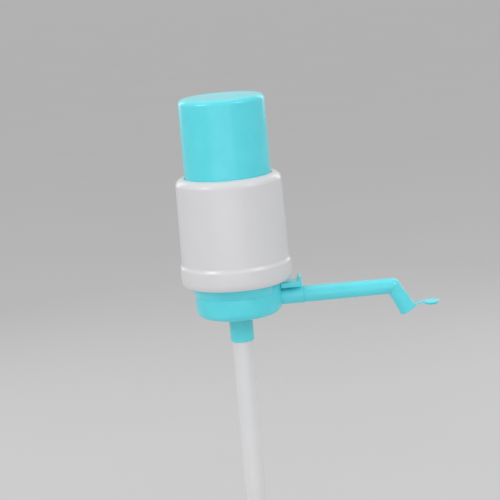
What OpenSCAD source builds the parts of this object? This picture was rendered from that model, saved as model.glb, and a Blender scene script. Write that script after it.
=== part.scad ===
// Hand pump for a large water jug, in millimetres.
// The pump axis is Z. The origin is the centre of the plane that the rim of the jug's neck seats on.
// The spout points along +X. Pressing the cap squeezes the bellows, which blows air into the jug, and
// the air pushes water up the suction tube, over the rim in a duct and out through the spout.

/* [Jug neck] */
// Outside diameter of the neck that the pump fits
neck_d = 55; // [53:0.5:57]
// Inside diameter of the mouth of that neck
neck_mouth_d = 46; // [44:0.5:48]
// Depth of neck that goes into the base
neck_depth = 14.5; // [13.5:0.5:18]
// Radial clearance between the neck and the socket
neck_gap = 0.7; // [0.5:0.1:1]

/* [Base] */
// Thickness of the base's lower wall, outside the grip ring
base_wall = 4.2; // [3.8:0.1:5]
// Thickness of the base's thinner walls
shell_t = 1.6; // [1.3:0.1:1.8]
// Width of the rounded bottom edge
base_round = 4; // [2:0.5:4]
// Height of the rounded bottom edge
base_round_h = 6; // [4:0.5:8]
// Height of the straight lower wall
base_wall_h = 16.5; // [14:0.1:18]
// Inward step where the flared band starts
flare_ledge = 0.5; // [0.2:0.1:0.8]
// Distance along +X at which the flared band is cut away for the lever
flare_cut_x = 25.8; // [25:0.2:29]
// Thickness of the ceiling over the neck
web_t = 1.8; // [1.4:0.1:2.4]
// Diameter of the air holes in the ceiling
air_hole_d = 6; // [4:0.5:7]
// Distance of the air holes from the axis
air_hole_r = 14.5; // [13.5:0.5:16]
// Thickness of the four fins under the ceiling
fin_t = 1.6; // [1.2:0.1:2]
// Depth of those fins below the rim, beside the nipple
fin_depth = 9; // [6:0.5:12]

/* [Water way] */
// Inside width of the duct over the rim
duct_w = 13; // [12.6:0.2:14]
// Inside height of that duct
duct_h = 3.6; // [3:0.1:4.5]
// Thickness of the duct's walls
duct_wall = 1.4; // [1:0.1:1.8]
// Thickness of the duct cover
cover_t = 1; // [0.8:0.1:1.4]
// Skin between the grip ring's groove and the rising passage in the wall
rise_skin = 1.1; // [0.8:0.1:1.2]
// Radial depth of the rising passage
rise_depth = 1.6; // [1.2:0.1:1.7]
// Width of the rising passage beside the spout
rise_w = 20; // [16:0.5:22]
// Bore of the riser above the suction tube
riser_bore_d = 12.4; // [11:0.2:12.4]
// Wall of the nipple around the suction tube
nipple_wall = 1.35; // [1.2:0.05:2]
// Distance that the nipple reaches below the base
nipple_reach = 22; // [18:1:30]
// Chamfer at the nipple's end
nipple_chamfer = 0.6; // [0.3:0.1:1]

/* [Suction tube] */
// Outside diameter of the suction tube
tube_d = 15.6; // [15:0.1:16.4]
// Wall of the suction tube
tube_wall = 1.5; // [1:0.1:1.6]
// Length of the suction tube
tube_l = 285; // [200:5:400]
// Length of the tube that sits in the nipple
tube_grip = 16; // [10:1:17]
// Radial clearance of the tube in the nipple
tube_fit = 0.05; // [0.02:0.01:0.1]

/* [Neck seal and grip ring] */
// Thickness of the seal under the ceiling
seal_t = 2; // [1.5:0.1:3]
// Radial width of the skirt that centres the seal in the mouth
seal_skirt_w = 2; // [1.5:0.1:3]
// Depth of that skirt below the rim
seal_skirt_h = 4; // [2:0.5:6]
// Radial thickness of the grip ring
grip_t = 1.3; // [1.1:0.1:1.6]
// Height of the grip ring
grip_h = 8.8; // [7:0.1:9.2]
// Height of the lip below the grip ring
grip_lip = 2.3; // [2:0.1:3]
// Opening of the split in the grip ring
grip_split = 7; // [4:1:10]

/* [Deck] */
// Height of the air space between the duct cover and the deck
air_room = 3.8; // [3.7:0.1:4.6]
// Thickness of the deck
deck_t = 2.4; // [2:0.1:3]
// Radial step of the deck rim outside the casing's bore
deck_step = 1.1; // [0.9:0.1:1.4]
// Height of the deck's rim ring
deck_ring_h = 6.8; // [5.5:0.1:7.2]
// Thickness of the deck's rim ring
deck_ring_t = 2; // [1.4:0.1:2.4]
// Height of the snap bead on the rim ring
bead_h = 0.4; // [0.2:0.1:0.6]
// Depth of the ring under the deck that centres it in the base
spigot_ring_h = 1; // [0.6:0.1:1.5]

/* [Casing] */
// Outside diameter of the casing at its shoulder
casing_d = 80.8; // [80:0.2:84]
// Growth of the casing's radius from shoulder to skirt
casing_draft = 0.8; // [0.4:0.1:1]
// Wall of the casing at its shoulder
casing_t = 2.2; // [1.8:0.1:2.4]
// Height of the casing
casing_h = 81.1; // [78:0.5:90]
// Radius of the shoulder
shoulder_r = 6.2; // [3:0.2:6.2]
// Height of the skirt above the deck's underside
skirt_h = 9.4; // [8.5:0.1:12]
// Distance that the skirt hangs below the deck's underside
skirt_drop = 1.6; // [1:0.1:2]
// Radial step of the skirt outside the casing
skirt_out = 1.5; // [1:0.1:2]
// Width of the skirt's rounded bottom edge
skirt_round = 2.6; // [1.5:0.1:2.8]
// Height of the skirt's rounded bottom edge
skirt_round_h = 6; // [3:0.5:7]
// Height of the soft step between the skirt and the casing above it
skirt_step_h = 6.4; // [4:0.1:7]
// Length of the guide sleeve inside the casing's mouth
guide_l = 14.3; // [10:0.5:18]
// Thickness of that sleeve
guide_t = 1.6; // [1.2:0.1:2]

/* [Plunger cap] */
// Radial distance from the plunger cap's outside to the casing's outside
lip_w = 7.5; // [7.4:0.1:9]
// Height of the plunger cap above the casing
plunger_out = 59.7; // [54:0.1:64]
// Wall of the plunger cap
plunger_t = 1.8; // [1.5:0.1:2]
// Thickness of its roof
roof_t = 2.2; // [1.8:0.1:3]
// Radius of the top edge
plunger_round = 4.4; // [2:0.2:4.4]
// Radial clearance of the plunger cap in the guide sleeve
slide_gap = 0.4; // [0.3:0.05:0.5]
// Thickness of the stop flange at its foot
flange_t = 2.5; // [2:0.1:3]
// Clearance between the stop flange and what it stops on, and between it and the casing
flange_gap = 0.3; // [0.2:0.05:0.5]
// Height of the ribs under the roof
rib_h = 3.8; // [3.5:0.1:5]
// Number of those ribs
rib_count = 6; // [3:1:8]
// Thickness of those ribs
rib_t = 1.6; // [1.2:0.1:2]
// Distance of the ribs' inner ends from the axis
rib_r = 9; // [8:0.5:14]

/* [Bellows] */
// Number of folds
fold_count = 14; // [10:1:16]
// Depth of a fold
fold_depth = 6.8; // [5:0.2:7.2]
// Radial clearance between the folds and the plunger cap
fold_gap = 1.9; // [1.5:0.1:3]
// Radial thickness of the bellows' wall
bellows_wall = 1.4; // [1:0.1:1.6]
// Room between the screw heads and the first fold
fold_clear = 1.8; // [1.5:0.1:3]
// Thickness of the bellows' end flanges
bellows_flange_t = 1.6; // [1.2:0.1:2]
// Thickness of the top plate
plate_t = 2.4; // [2:0.1:3]
// Depth of the top plate's spigot inside the bellows
spigot_h = 6; // [4:0.5:8]
// Thickness of the clamp ring
clamp_t = 2; // [1.6:0.1:2.4]
// Shank diameter of the clamp screws
screw_d = 2.6; // [2.2:0.1:3]
// Length of the clamp screws under the head
screw_l = 7; // [6.5:0.1:7.6]
// Height of the screw heads
screw_head_h = 1.4; // [1:0.1:1.6]
// Diameter of the screw heads
screw_head_d = 4.4; // [4:0.1:4.8]

/* [Valves] */
// Diameter of the inlet valve's disc
inlet_d = 14; // [13:0.5:17]
// Diameter of the outlet valve's disc
outlet_d = 12; // [11.5:0.5:13]
// Distance of the outlet valve from the axis, towards -X
outlet_x = 13; // [12:0.5:14]
// Thickness of the valve discs
valve_t = 1.2; // [1:0.1:1.4]
// Diameter of the valve stems
stem_d = 3; // [2.4:0.1:3.2]
// Lift of the valves
valve_lift = 1.2; // [0.8:0.1:1.4]
// Diameter of the air ports under the inlet valve
inlet_port_d = 2.8; // [2:0.1:3]
// Diameter of the air ports under the outlet valve
outlet_port_d = 2.2; // [1.8:0.1:2.4]

/* [Spout] */
// Distance of the stub's end from the axis
stub_end_x = 49.8; // [47:0.2:54]
// Outside diameter of the stub
stub_d = 13.3; // [13:0.1:14]
// Wall of the stub
stub_wall = 1.2; // [1:0.05:1.3]
// Height of the spout's axis above the bottom of the base
spout_rise = 9.8; // [9:0.1:10.4]
// Distance of the bend from the pump's axis
bend_x = 119; // [90:0.5:160]
// Outside diameter of the spout at its root
spout_root_d = 12.8; // [12:0.1:13]
// Outside diameter of the spout at the bend
spout_d = 12.2; // [11.6:0.1:12.4]
// Inside diameter of the spout
spout_bore_d = 9; // [8:0.1:9.2]
// Tilt of the nozzle from straight down
nozzle_tilt = 28.8; // [15:0.2:40]
// Length of the nozzle from the bend to its end
nozzle_l = 22.6; // [20:0.2:30]
// Outside diameter of the nozzle at the bend
nozzle_root_d = 11.2; // [11:0.1:12.2]
// Outside diameter at the nozzle's end
nozzle_d = 13.6; // [12:0.1:14]
// Diameter of the mouth that the cap plugs
mouth_d = 10.1; // [9.8:0.1:10.4]
// Depth of that mouth
mouth_depth = 8; // [5:0.5:9]
// Length of the spigot in the stub
spigot_l = 13; // [11:0.2:13.4]
// Bore of the spigot
spigot_bore_d = 7.2; // [6.4:0.1:7.4]
// Radial clearance of the spigot in the stub
spigot_fit = 0.05; // [0.02:0.01:0.1]
// Thickness of the O-ring's section
o_ring_d = 1.2; // [1:0.1:1.3]

/* [Outlet cap] */
// Distance of the strap's hinge from the nozzle's axis
hinge_r = 9.6; // [9:0.1:12]
// Angle between the cap as drawn and the cap closed
cap_open = 151.2; // [120:0.2:170]
// Diameter of the cap's disc
cap_d = 13.2; // [12.6:0.1:14]
// Thickness of the cap's disc
cap_t = 1; // [0.8:0.1:1.6]
// Length of the cap's plug
plug_l = 1.4; // [1.2:0.1:2]
// Radial clearance of the plug in the mouth
plug_fit = 0.1; // [0.05:0.01:0.2]
// Width of the strap
strap_w = 6; // [4:0.5:8]
// Thickness of the strap
strap_t = 0.6; // [0.5:0.1:1]

/* [Release lever] */
// Width of the lever
lever_w = 14.8; // [14.4:0.2:16]
// Thickness of the lever's top plate and of the arm that carries the pad
lever_t = 1.6; // [1.2:0.1:1.8]
// Thickness of the lever's side walls
lever_side_t = 1.2; // [1:0.1:1.4]
// Height of those walls below the top plate
lever_side_h = 2.2; // [1:0.1:2.4]
// Height of the lever's top above the stub
lever_top = 4.65; // [4.4:0.05:5.5]
// Distance of the lever's outer end from the stub's end
lever_inset = 0.5; // [0:0.1:1.5]
// Height of the thumb tip above the lever's top
tip_h = 4.4; // [3:0.1:5]
// Thickness of the thumb tip at its top
tip_t = 1.8; // [1.4:0.1:2.2]
// Radius of the hollow in front of the thumb tip
tip_hollow = 3.8; // [3:0.1:4.2]
// Distance of the pivot from the base's wall
pivot_out = 3; // [2.8:0.1:3.4]
// Height of the pivot above the stub
pivot_up = 1.4; // [1.35:0.05:1.5]
// Width of the lug that carries the lever
lug_w = 4.8; // [4:0.2:6]
// Diameter of the lever's pin
pin_d = 1.6; // [1.4:0.1:1.8]
// Radial clearance of the pin in the lever
pin_fit = 0.05; // [0.02:0.01:0.1]
// Diameter of the vent hole
vent_d = 2.2; // [1.8:0.1:2.4]
// Height of the vent's seat off the base's wall
vent_seat_h = 0.4; // [0.3:0.1:0.6]
// Thickness of the silicone pad on the vent
pad_t = 1.15; // [0.9:0.05:1.3]
// Distance of the spring from the pivot
spring_out = 6.8; // [6:0.1:7.4]
// Wire diameter of the spring
wire_d = 0.5; // [0.4:0.05:0.55]
// Radius of the spring to the middle of its wire
coil_r = 1.6; // [1.5:0.05:1.8]
// Number of turns of the spring
coil_turns = 2.25; // [2:0.25:2.25]

/* [Hidden] */
$fn = 96;

turquoise = [0.36, 0.85, 0.89];
casing_white = [0.86, 0.86, 0.87];
natural_plastic = [0.9, 0.91, 0.9];
dark_rubber = [0.16, 0.17, 0.18];
milky_silicone = [0.86, 0.88, 0.87];
steel = [0.72, 0.73, 0.75];

// Clearance between pieces that are fitted once and stay together
close_gap = 0.1;
// Clearance of the valve stems, the spout's shoulder and the closed vent pad
running_gap = 0.05;
// Distance that a cut runs past a face
past = 1;
// Points on a rounded edge
round_steps = 8;
// Places around the axis of the fins and of the screws
quarters = [45:90:315];

// Heights, from the rim seat
z_bottom = -neck_depth;
z_ceiling = seal_t;
z_web = z_ceiling + web_t;
z_duct = z_web + duct_h;
z_cover = z_duct + cover_t;
z_deck = z_cover + air_room;
z_deck_top = z_deck + deck_t;
z_ring = z_deck_top + deck_ring_h;
z_wall_top = z_bottom + base_wall_h;
z_casing_top = z_deck + casing_h;
z_plunger_top = z_casing_top + plunger_out;
z_plunger_foot = z_casing_top - guide_l - flange_gap - flange_t;
z_plate_top = z_plunger_top - roof_t - rib_h;
z_plate = z_plate_top - plate_t;
z_clamp = z_deck_top + bellows_flange_t;
z_clamp_top = z_clamp + clamp_t;
z_nipple = z_bottom - nipple_reach;
z_spout = z_bottom + spout_rise;
z_stub_top = z_spout + stub_d / 2;
z_grip = z_bottom + grip_lip;
z_skirt_low = z_deck - skirt_drop;

// Radii, from the pump axis
r_neck = neck_d / 2;
r_socket = r_neck + neck_gap;
r_grip = r_neck + close_gap;
r_groove = r_grip + grip_t + close_gap;
r_base = r_groove + base_wall;
r_air = r_base - shell_t;
r_riser = riser_bore_d / 2;
r_nipple = tube_d / 2 + tube_fit + nipple_wall;
r_casing = casing_d / 2;
r_casing_in = r_casing - casing_t;
r_casing_foot = r_casing + casing_draft;
r_deck = r_casing_in + deck_step;
r_flare = r_deck - 1;
r_skirt = r_casing_foot + skirt_out;
r_plunger = r_casing - lip_w;
r_plunger_in = r_plunger - plunger_t;
r_mouth = r_plunger + slide_gap;
r_fold = r_plunger_in - fold_gap;
r_root = r_fold - fold_depth;
r_root_in = r_root - bellows_wall;
plate_rim = 0.3;
r_plate = r_fold + plate_rim;
clamp_clear = 1.1;
r_clamp_in = r_root + clamp_clear;
flange_w = 4.4;
r_flange = r_root + flange_w;
r_screws = r_flange + screw_d / 2 + 0.5;
r_clamp = r_screws + screw_d / 2 + 0.8;
skirt_gap = 0.5;
r_seal_in = neck_mouth_d / 2 - skirt_gap - seal_skirt_w;

r_rise = r_groove + rise_skin;
r_rise_out = r_rise + rise_depth;
stub_r = stub_d / 2;
stub_bore_r = stub_r - stub_wall;

// Lever
pivot = [r_base + pivot_out, z_stub_top + pivot_up];
lever_z = z_stub_top + lever_top;
plate_z = lever_z - lever_t;
lever_end = stub_end_x - lever_inset;
lever_half = lever_w / 2;
side_z = plate_z - lever_side_h;
lug_gap = 0.2;
lug_r = plate_z - pivot[1] - lug_gap;
lug_half = lug_w / 2;
ear_r = pin_d / 2 + 0.9;
ear_low = lug_half + flange_gap;
ear_high = ear_low + lever_side_t;
vent_z = z_deck - air_room / 2 - 0.4;
vent_pad_r = vent_d / 2 + 0.8;
vent_x = r_base + vent_seat_h;
arm_x = vent_x + pad_t + running_gap;
arm_top = vent_z + vent_pad_r;
arm_half = 3.6;
button_r = 0.8;
wall_gap = 0.4;
spring_x = pivot[0] + spring_out;
seat_z = z_stub_top + 0.15;
peg_r = coil_r - wire_d / 2 - 0.2;
peg_h = 0.7;

// Bead that the cap's strap turns on
hinge_bead_r = 0.45;

// Nozzle: its local +Z runs out along the nozzle, and its local -X faces the cap's hinge
nozzle_turn = 180 - nozzle_tilt;

// Points along a round edge about (cx, cz), from angle a to angle b, with radii r_x and r_z
function oval_edge(cx, cz, r_x, r_z, a, b) = [
    for (i = [0:round_steps])
        let (t = a + (b - a) * i / round_steps)
        [cx + r_x * cos(t), cz + r_z * sin(t)]
];

function edge(cx, cz, r, a, b) = oval_edge(cx, cz, r, r, a, b);

module ring(r_in, r_out, z_low, z_high) {
    translate([0, 0, z_low])
        difference() {
            cylinder(r = r_out, h = z_high - z_low);
            translate([0, 0, -past]) cylinder(r = r_in, h = z_high - z_low + 2 * past);
        }
}

module rod(r, z_low, z_high) {
    translate([0, 0, z_low]) cylinder(r = r, h = z_high - z_low);
}

// A round bar along X
module bar_x(r, x_low, x_high, z) {
    translate([x_low, 0, z]) rotate([0, 90, 0]) cylinder(r = r, h = x_high - x_low);
}

// A round bar along Y, centred on the XZ plane
module bar_y(r, half, x, z) {
    translate([x, half, z]) rotate([90, 0, 0]) cylinder(r = r, h = 2 * half);
}

// Extrudes a side outline, drawn in X and Z, between two places along Y
module across(y_low, y_high) {
    translate([0, y_high, 0]) rotate([90, 0, 0]) linear_extrude(y_high - y_low) children();
}

// A box between two corners
module block(low, high) {
    translate(low) cube(high - low);
}

// ---- Base ----

module base_shape() {
    rotate_extrude()
        polygon(concat(
            [[0, z_bottom]],
            oval_edge(r_base - base_round, z_bottom + base_round_h, base_round, base_round_h, -90, 0),
            [[r_base, z_wall_top], [r_base - flare_ledge, z_wall_top], [r_flare, z_deck], [0, z_deck]]
        ));
}

module base_outside() {
    difference() {
        base_shape();
        block([flare_cut_x, -r_deck, z_wall_top], [r_deck + past, r_deck, z_deck + past]);
    }
    rod(r_base, z_wall_top - past, z_deck);
    bar_x(vent_pad_r + 0.2, r_air + 0.4, vent_x, vent_z);
    bar_x(stub_r, r_rise_out, stub_end_x, z_spout);
    rod(r_nipple, z_nipple + nipple_chamfer, z_ceiling);
    translate([0, 0, z_nipple])
        cylinder(r1 = r_nipple - nipple_chamfer, r2 = r_nipple, h = nipple_chamfer);
}

// The room for the jug's neck, with the groove of the grip ring
module neck_room() {
    lead_in = 0.5;
    r_fin = r_seal_in - 2;
    difference() {
        union() {
            rod(r_socket, z_bottom - past, z_ceiling);
            rod(r_groove, z_grip, z_grip + grip_h + 2 * close_gap);
            translate([0, 0, z_bottom - past])
                cylinder(r1 = r_socket + lead_in + past, r2 = r_socket, h = lead_in + past);
        }
        rod(r_nipple, z_nipple, z_ceiling + past);
        for (a = quarters)
            rotate([0, 0, a])
                across(-fin_t / 2, fin_t / 2)
                    polygon([[0, z_ceiling + past], [r_fin, z_ceiling + past], [r_fin, z_ceiling - 1],
                             [r_nipple, -fin_depth], [0, -fin_depth]]);
    }
}

// The air space over the ceiling, without the water duct
module air_space() {
    difference() {
        union() {
            rod(r_air, z_web, z_deck + past);
            intersection() {
                translate([0, 0, z_wall_top])
                    cylinder(r1 = r_base - flare_ledge - 2 * shell_t, r2 = r_flare - 2 * shell_t,
                             h = z_deck - z_wall_top);
                block([-r_deck, -r_deck, z_web], [flare_cut_x - 2 * shell_t, r_deck, z_deck]);
            }
        }
        duct_plan(duct_w / 2 + duct_wall, r_base, z_web - past, z_duct);
    }
}

// The plan of the duct: a round end on the pump axis and straight sides out along +X
module duct_plan(half, x_end, z_low, z_high) {
    rod(half, z_low, z_high);
    block([0, -half, z_low], [x_end, half, z_high]);
}

// A stretch of the rising passage, inside the wall on the spout's side
module rise(width, z_low, z_high) {
    intersection() {
        ring(r_rise, r_rise_out, z_low, z_high);
        block([0, -width / 2, z_low], [r_base, width / 2, z_high]);
    }
}

module water_way() {
    duct_plan(duct_w / 2, sqrt(pow(r_rise_out, 2) - pow(duct_w / 2, 2)), z_web, z_duct);
    rise(duct_w, z_spout, z_duct);
    rise(rise_w, z_spout - stub_bore_r + 1, z_spout + stub_bore_r);
    bar_x(spigot_bore_d / 2, r_rise + rise_depth / 2, stub_end_x + past, z_spout);
    bar_x(stub_bore_r, stub_end_x - spigot_l - 0.3, stub_end_x + past, z_spout);
    rod(r_riser, z_nipple - past, z_web + past);
    rod(tube_d / 2 + tube_fit, z_nipple - past, z_nipple + tube_grip);
}

module lever_lug() {
    bar_y(lug_r, lug_half, pivot[0], pivot[1]);
    block([r_base - past, -lug_half, z_stub_top - past], [pivot[0] + lug_r, lug_half, pivot[1]]);
}

module spring_seat() {
    translate([spring_x, 0, 0]) {
        rod(coil_r + wire_d / 2 + 0.4, z_stub_top - past, seat_z);
        rod(peg_r, z_stub_top - past, seat_z + peg_h);
    }
}

module pump_base() {
    color(turquoise)
        difference() {
            union() {
                base_outside();
                lever_lug();
                spring_seat();
            }
            neck_room();
            air_space();
            water_way();
            bar_x(vent_d / 2, r_air - 2, vent_x + past, vent_z);
            bar_y(pin_d / 2, lever_w, pivot[0], pivot[1]);
            for (a = [90, 180, 270])
                rotate([0, 0, a])
                    translate([air_hole_r, 0, 0])
                        rod(air_hole_d / 2, z_ceiling - past, z_web + past);
        }
}

module duct_cover() {
    color(turquoise)
        intersection() {
            duct_plan(duct_w / 2 + duct_wall, r_base, z_duct, z_cover);
            rod(r_air - close_gap, z_duct, z_cover);
        }
}

// ---- Neck ----

module neck_seal() {
    color(dark_rubber) {
        ring(r_seal_in, r_socket - 2 * close_gap, 0, z_ceiling);
        translate([0, 0, -seal_skirt_h])
            difference() {
                cylinder(r1 = r_seal_in + seal_skirt_w - 0.6, r2 = r_seal_in + seal_skirt_w,
                         h = seal_skirt_h + seal_t / 2);
                translate([0, 0, -past]) cylinder(r = r_seal_in, h = seal_skirt_h + seal_t + past);
            }
    }
}

module neck_grip_ring() {
    barb = 0.3;
    tooth = grip_h / 3;
    z0 = z_grip + close_gap;
    r_out = r_grip + grip_t;
    color(natural_plastic)
        difference() {
            rotate_extrude()
                polygon(concat(
                    [[r_out, z0], [r_out, z0 + grip_h]],
                    [for (i = [2:-1:0])
                        each [[r_grip + barb, z0 + (i + 1) * tooth], [r_grip, z0 + (i + 0.6) * tooth]]],
                    [[r_grip + barb, z0]]
                ));
            block([-r_base, -grip_split / 2, z_bottom], [0, grip_split / 2, z_ceiling]);
        }
}

// ---- Deck and casing ----

// Six round ports about a valve's stem
module port_circle(r_circle, d, z_low, z_high) {
    for (a = [0:60:300])
        rotate([0, 0, a])
            translate([r_circle, 0, 0])
                rod(d / 2, z_low, z_high);
}

module base_deck() {
    bead_z = z_deck_top + deck_ring_h / 2;
    boss_wall = 1.1;
    boss_l = screw_l - deck_t - clamp_t + 0.6;
    color(turquoise)
        difference() {
            union() {
                rod(r_deck, z_deck, z_deck_top);
                ring(r_deck - deck_ring_t, r_deck, z_deck, z_ring);
                translate([0, 0, bead_z - 2 * bead_h])
                    difference() {
                        cylinder(r1 = r_deck, r2 = r_deck + bead_h, h = 2 * bead_h);
                        translate([0, 0, -past]) cylinder(r = r_deck - bead_h, h = 2 * bead_h + 2 * past);
                    }
                ring(r_air - 2 * close_gap - shell_t, r_air - 2 * close_gap, z_deck - spigot_ring_h, z_deck);
                for (a = quarters)
                    rotate([0, 0, a])
                        translate([r_screws, 0, 0])
                            rod(screw_d / 2 + boss_wall, z_deck - boss_l, z_deck);
            }
            translate([-outlet_x, 0, 0]) {
                rod(stem_d / 2 + running_gap, z_deck - past, z_deck_top + past);
                port_circle(outlet_d / 4 + 0.6, outlet_port_d, z_deck - past, z_deck_top + past);
            }
            for (a = quarters)
                rotate([0, 0, a])
                    translate([r_screws, 0, 0])
                        rod(screw_d / 2, z_clamp_top - screw_l, z_deck_top + past);
        }
}

module outer_casing() {
    r_in = r_deck + 2 * close_gap;
    bead_z = z_deck_top + deck_ring_h / 2;
    mouth_round = 0.6;
    inner_round = 2.4;
    z_step = z_deck + skirt_h;
    color(casing_white)
        rotate_extrude()
            polygon(concat(
                [[r_in, z_skirt_low]],
                oval_edge(r_skirt - skirt_round, z_skirt_low + skirt_round_h,
                          skirt_round, skirt_round_h, -90, 0),
                [for (i = [0:round_steps])
                    let (t = i / round_steps)
                    [r_casing_foot + skirt_out * (1 + cos(180 * t)) / 2, z_step + skirt_step_h * t]],
                edge(r_casing - shoulder_r, z_casing_top - shoulder_r, shoulder_r, 0, 90),
                edge(r_mouth + mouth_round, z_casing_top - mouth_round, mouth_round, 90, 180),
                [[r_mouth, z_casing_top - guide_l], [r_mouth + guide_t, z_casing_top - guide_l],
                 [r_mouth + guide_t, z_casing_top - casing_t - inner_round]],
                edge(r_casing_in - inner_round, z_casing_top - casing_t - inner_round, inner_round, 90, 0),
                [[r_casing_in, z_ring], [r_in, z_ring], [r_in, bead_z + bead_h],
                 [r_in + bead_h, bead_z], [r_in + bead_h, bead_z - 2 * bead_h],
                 [r_in, bead_z - 3 * bead_h]]
            ));
}

// ---- Plunger ----

module plunger_cap() {
    inner_round = 2;
    color(turquoise) {
        rotate_extrude()
            polygon(concat(
                [[0, z_plunger_top - roof_t], [0, z_plunger_top]],
                edge(r_plunger - plunger_round, z_plunger_top - plunger_round, plunger_round, 90, 0),
                [[r_plunger, z_plunger_foot + flange_t],
                 [r_casing_in - flange_gap, z_plunger_foot + flange_t],
                 [r_casing_in - flange_gap, z_plunger_foot], [r_plunger_in, z_plunger_foot]],
                edge(r_plunger_in - inner_round, z_plunger_top - roof_t - inner_round, inner_round, 0, 90)
            ));
        for (i = [0:rib_count - 1])
            rotate([0, 0, i * 360 / rib_count])
                block([rib_r, -rib_t / 2, z_plate_top],
                      [r_plate - 1.5, rib_t / 2, z_plunger_top - roof_t / 2]);
    }
}

module bellows() {
    neck = 2.4;
    r_top = r_plate - 1;
    z_low = z_clamp_top + screw_head_h + fold_clear;
    z_high = z_plate - bellows_flange_t - neck;
    pitch = (z_high - z_low) / fold_count;
    folds = [
        for (i = [0:fold_count - 1])
            each [[r_root, z_low + (i + 0.12) * pitch], [r_fold, z_low + (i + 0.42) * pitch],
                  [r_fold, z_low + (i + 0.58) * pitch], [r_root, z_low + (i + 0.88) * pitch]]
    ];
    inside = [for (i = [len(folds) - 1:-1:0]) [folds[i][0] - bellows_wall, folds[i][1]]];
    color(natural_plastic)
        rotate_extrude()
            polygon(concat(
                [[r_root_in, z_deck_top], [r_flange, z_deck_top], [r_flange, z_clamp], [r_root, z_clamp]],
                folds,
                [[r_root, z_plate - bellows_flange_t], [r_top, z_plate - bellows_flange_t],
                 [r_top, z_plate], [r_root_in, z_plate]],
                inside
            ));
}

module bellows_clamp_ring() {
    color(casing_white)
        difference() {
            union() {
                ring(r_clamp_in, r_clamp, z_clamp, z_clamp_top);
                ring(r_flange + close_gap, r_clamp, z_deck_top, z_clamp_top);
            }
            for (a = quarters)
                rotate([0, 0, a])
                    translate([r_screws, 0, 0])
                        rod(screw_d / 2 + close_gap, z_deck_top - past, z_clamp_top + past);
        }
}

module clamp_screws() {
    slot_half = 1.4;
    slot_w = 0.5;
    slot_depth = 0.8;
    color(steel)
        for (a = quarters)
            rotate([0, 0, a])
                translate([r_screws, 0, 0])
                    difference() {
                        union() {
                            rod(screw_d / 2, z_clamp_top - screw_l, z_clamp_top);
                            rod(screw_head_d / 2, z_clamp_top, z_clamp_top + screw_head_h);
                        }
                        translate([0, 0, z_clamp_top + screw_head_h - slot_depth]) {
                            block([-slot_half, -slot_w / 2, 0], [slot_half, slot_w / 2, past]);
                            block([-slot_w / 2, -slot_half, 0], [slot_w / 2, slot_half, past]);
                        }
                    }
}

module bellows_top_plate() {
    color(natural_plastic)
        difference() {
            union() {
                rod(r_plate, z_plate, z_plate_top);
                ring(r_root_in - 2 * close_gap - shell_t, r_root_in - 2 * close_gap,
                     z_plate - spigot_h, z_plate + past);
            }
            rod(stem_d / 2 + running_gap, z_plate - past, z_plate_top + past);
            port_circle(inlet_d / 4 + 0.7, inlet_port_d, z_plate - past, z_plate_top + past);
        }
}

// A rubber disc under its seat, on a stem with a catch above the seat's far side
module valve(d, z_seat, seat_t) {
    catch_w = 0.7;
    catch_h = 1.2;
    z_catch = z_seat + seat_t + valve_lift;
    rod(d / 2, z_seat - valve_t, z_seat);
    rod(stem_d / 2, z_seat - past, z_catch + catch_h / 3);
    translate([0, 0, z_catch])
        cylinder(r1 = stem_d / 2 + catch_w, r2 = stem_d / 2 - 0.2, h = catch_h);
}

module inlet_valve() {
    color(dark_rubber) valve(inlet_d, z_plate, plate_t);
}

module outlet_valve() {
    color(dark_rubber) translate([-outlet_x, 0, 0]) valve(outlet_d, z_deck, deck_t);
}

// ---- Water parts outside the base ----

module suction_tube() {
    z_top = z_nipple + tube_grip;
    color(casing_white) ring(tube_d / 2 - tube_wall, tube_d / 2, z_top - tube_l, z_top);
}

// Puts its children in the nozzle's own frame, with the origin at the nozzle's end
module at_nozzle_end() {
    translate([bend_x, 0, z_spout])
        rotate([0, nozzle_turn, 0])
            translate([0, 0, nozzle_l])
                children();
}

module spout() {
    root_x = stub_end_x + running_gap;
    groove_x = stub_end_x - spigot_l / 2;
    groove_half = o_ring_d * 0.65;
    spigot_r = stub_bore_r - spigot_fit;
    bore_x = root_x + 2;
    knuckle = 0.06;
    overlap = 0.8;
    color(turquoise)
        difference() {
            union() {
                translate([root_x, 0, z_spout])
                    rotate([0, 90, 0])
                        cylinder(r1 = spout_root_d / 2, r2 = spout_d / 2, h = bend_x - root_x);
                translate([bend_x, 0, z_spout]) sphere(r = spout_d / 2 + knuckle);
                at_nozzle_end()
                    translate([0, 0, -nozzle_l])
                        cylinder(r1 = nozzle_root_d / 2, r2 = nozzle_d / 2, h = nozzle_l);
                bar_x(spigot_r, stub_end_x - spigot_l, root_x + past, z_spout);
                at_nozzle_end()
                    block([-hinge_r + hinge_bead_r + close_gap, -strap_w / 2, -strap_t - running_gap],
                          [-nozzle_d / 2 + overlap, strap_w / 2, -running_gap]);
            }
            bar_x(spigot_bore_d / 2, stub_end_x - spigot_l - past, bore_x + past, z_spout);
            bar_x(spout_bore_d / 2, bore_x, bend_x, z_spout);
            translate([bend_x, 0, z_spout]) sphere(r = spout_bore_d / 2 + knuckle);
            at_nozzle_end() {
                rod(spout_bore_d / 2, -nozzle_l, past);
                rod(mouth_d / 2, -mouth_depth, past);
            }
            translate([groove_x, 0, z_spout])
                rotate([0, 90, 0])
                    ring(spigot_r - o_ring_d, spigot_r + past, -groove_half, groove_half);
        }
}

module spout_o_ring() {
    color(dark_rubber)
        translate([stub_end_x - spigot_l / 2, 0, z_spout])
            rotate([0, 90, 0])
                rotate_extrude()
                    translate([stub_bore_r - spigot_fit - o_ring_d / 2, 0])
                        circle(d = o_ring_d, $fn = 24);
}

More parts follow.
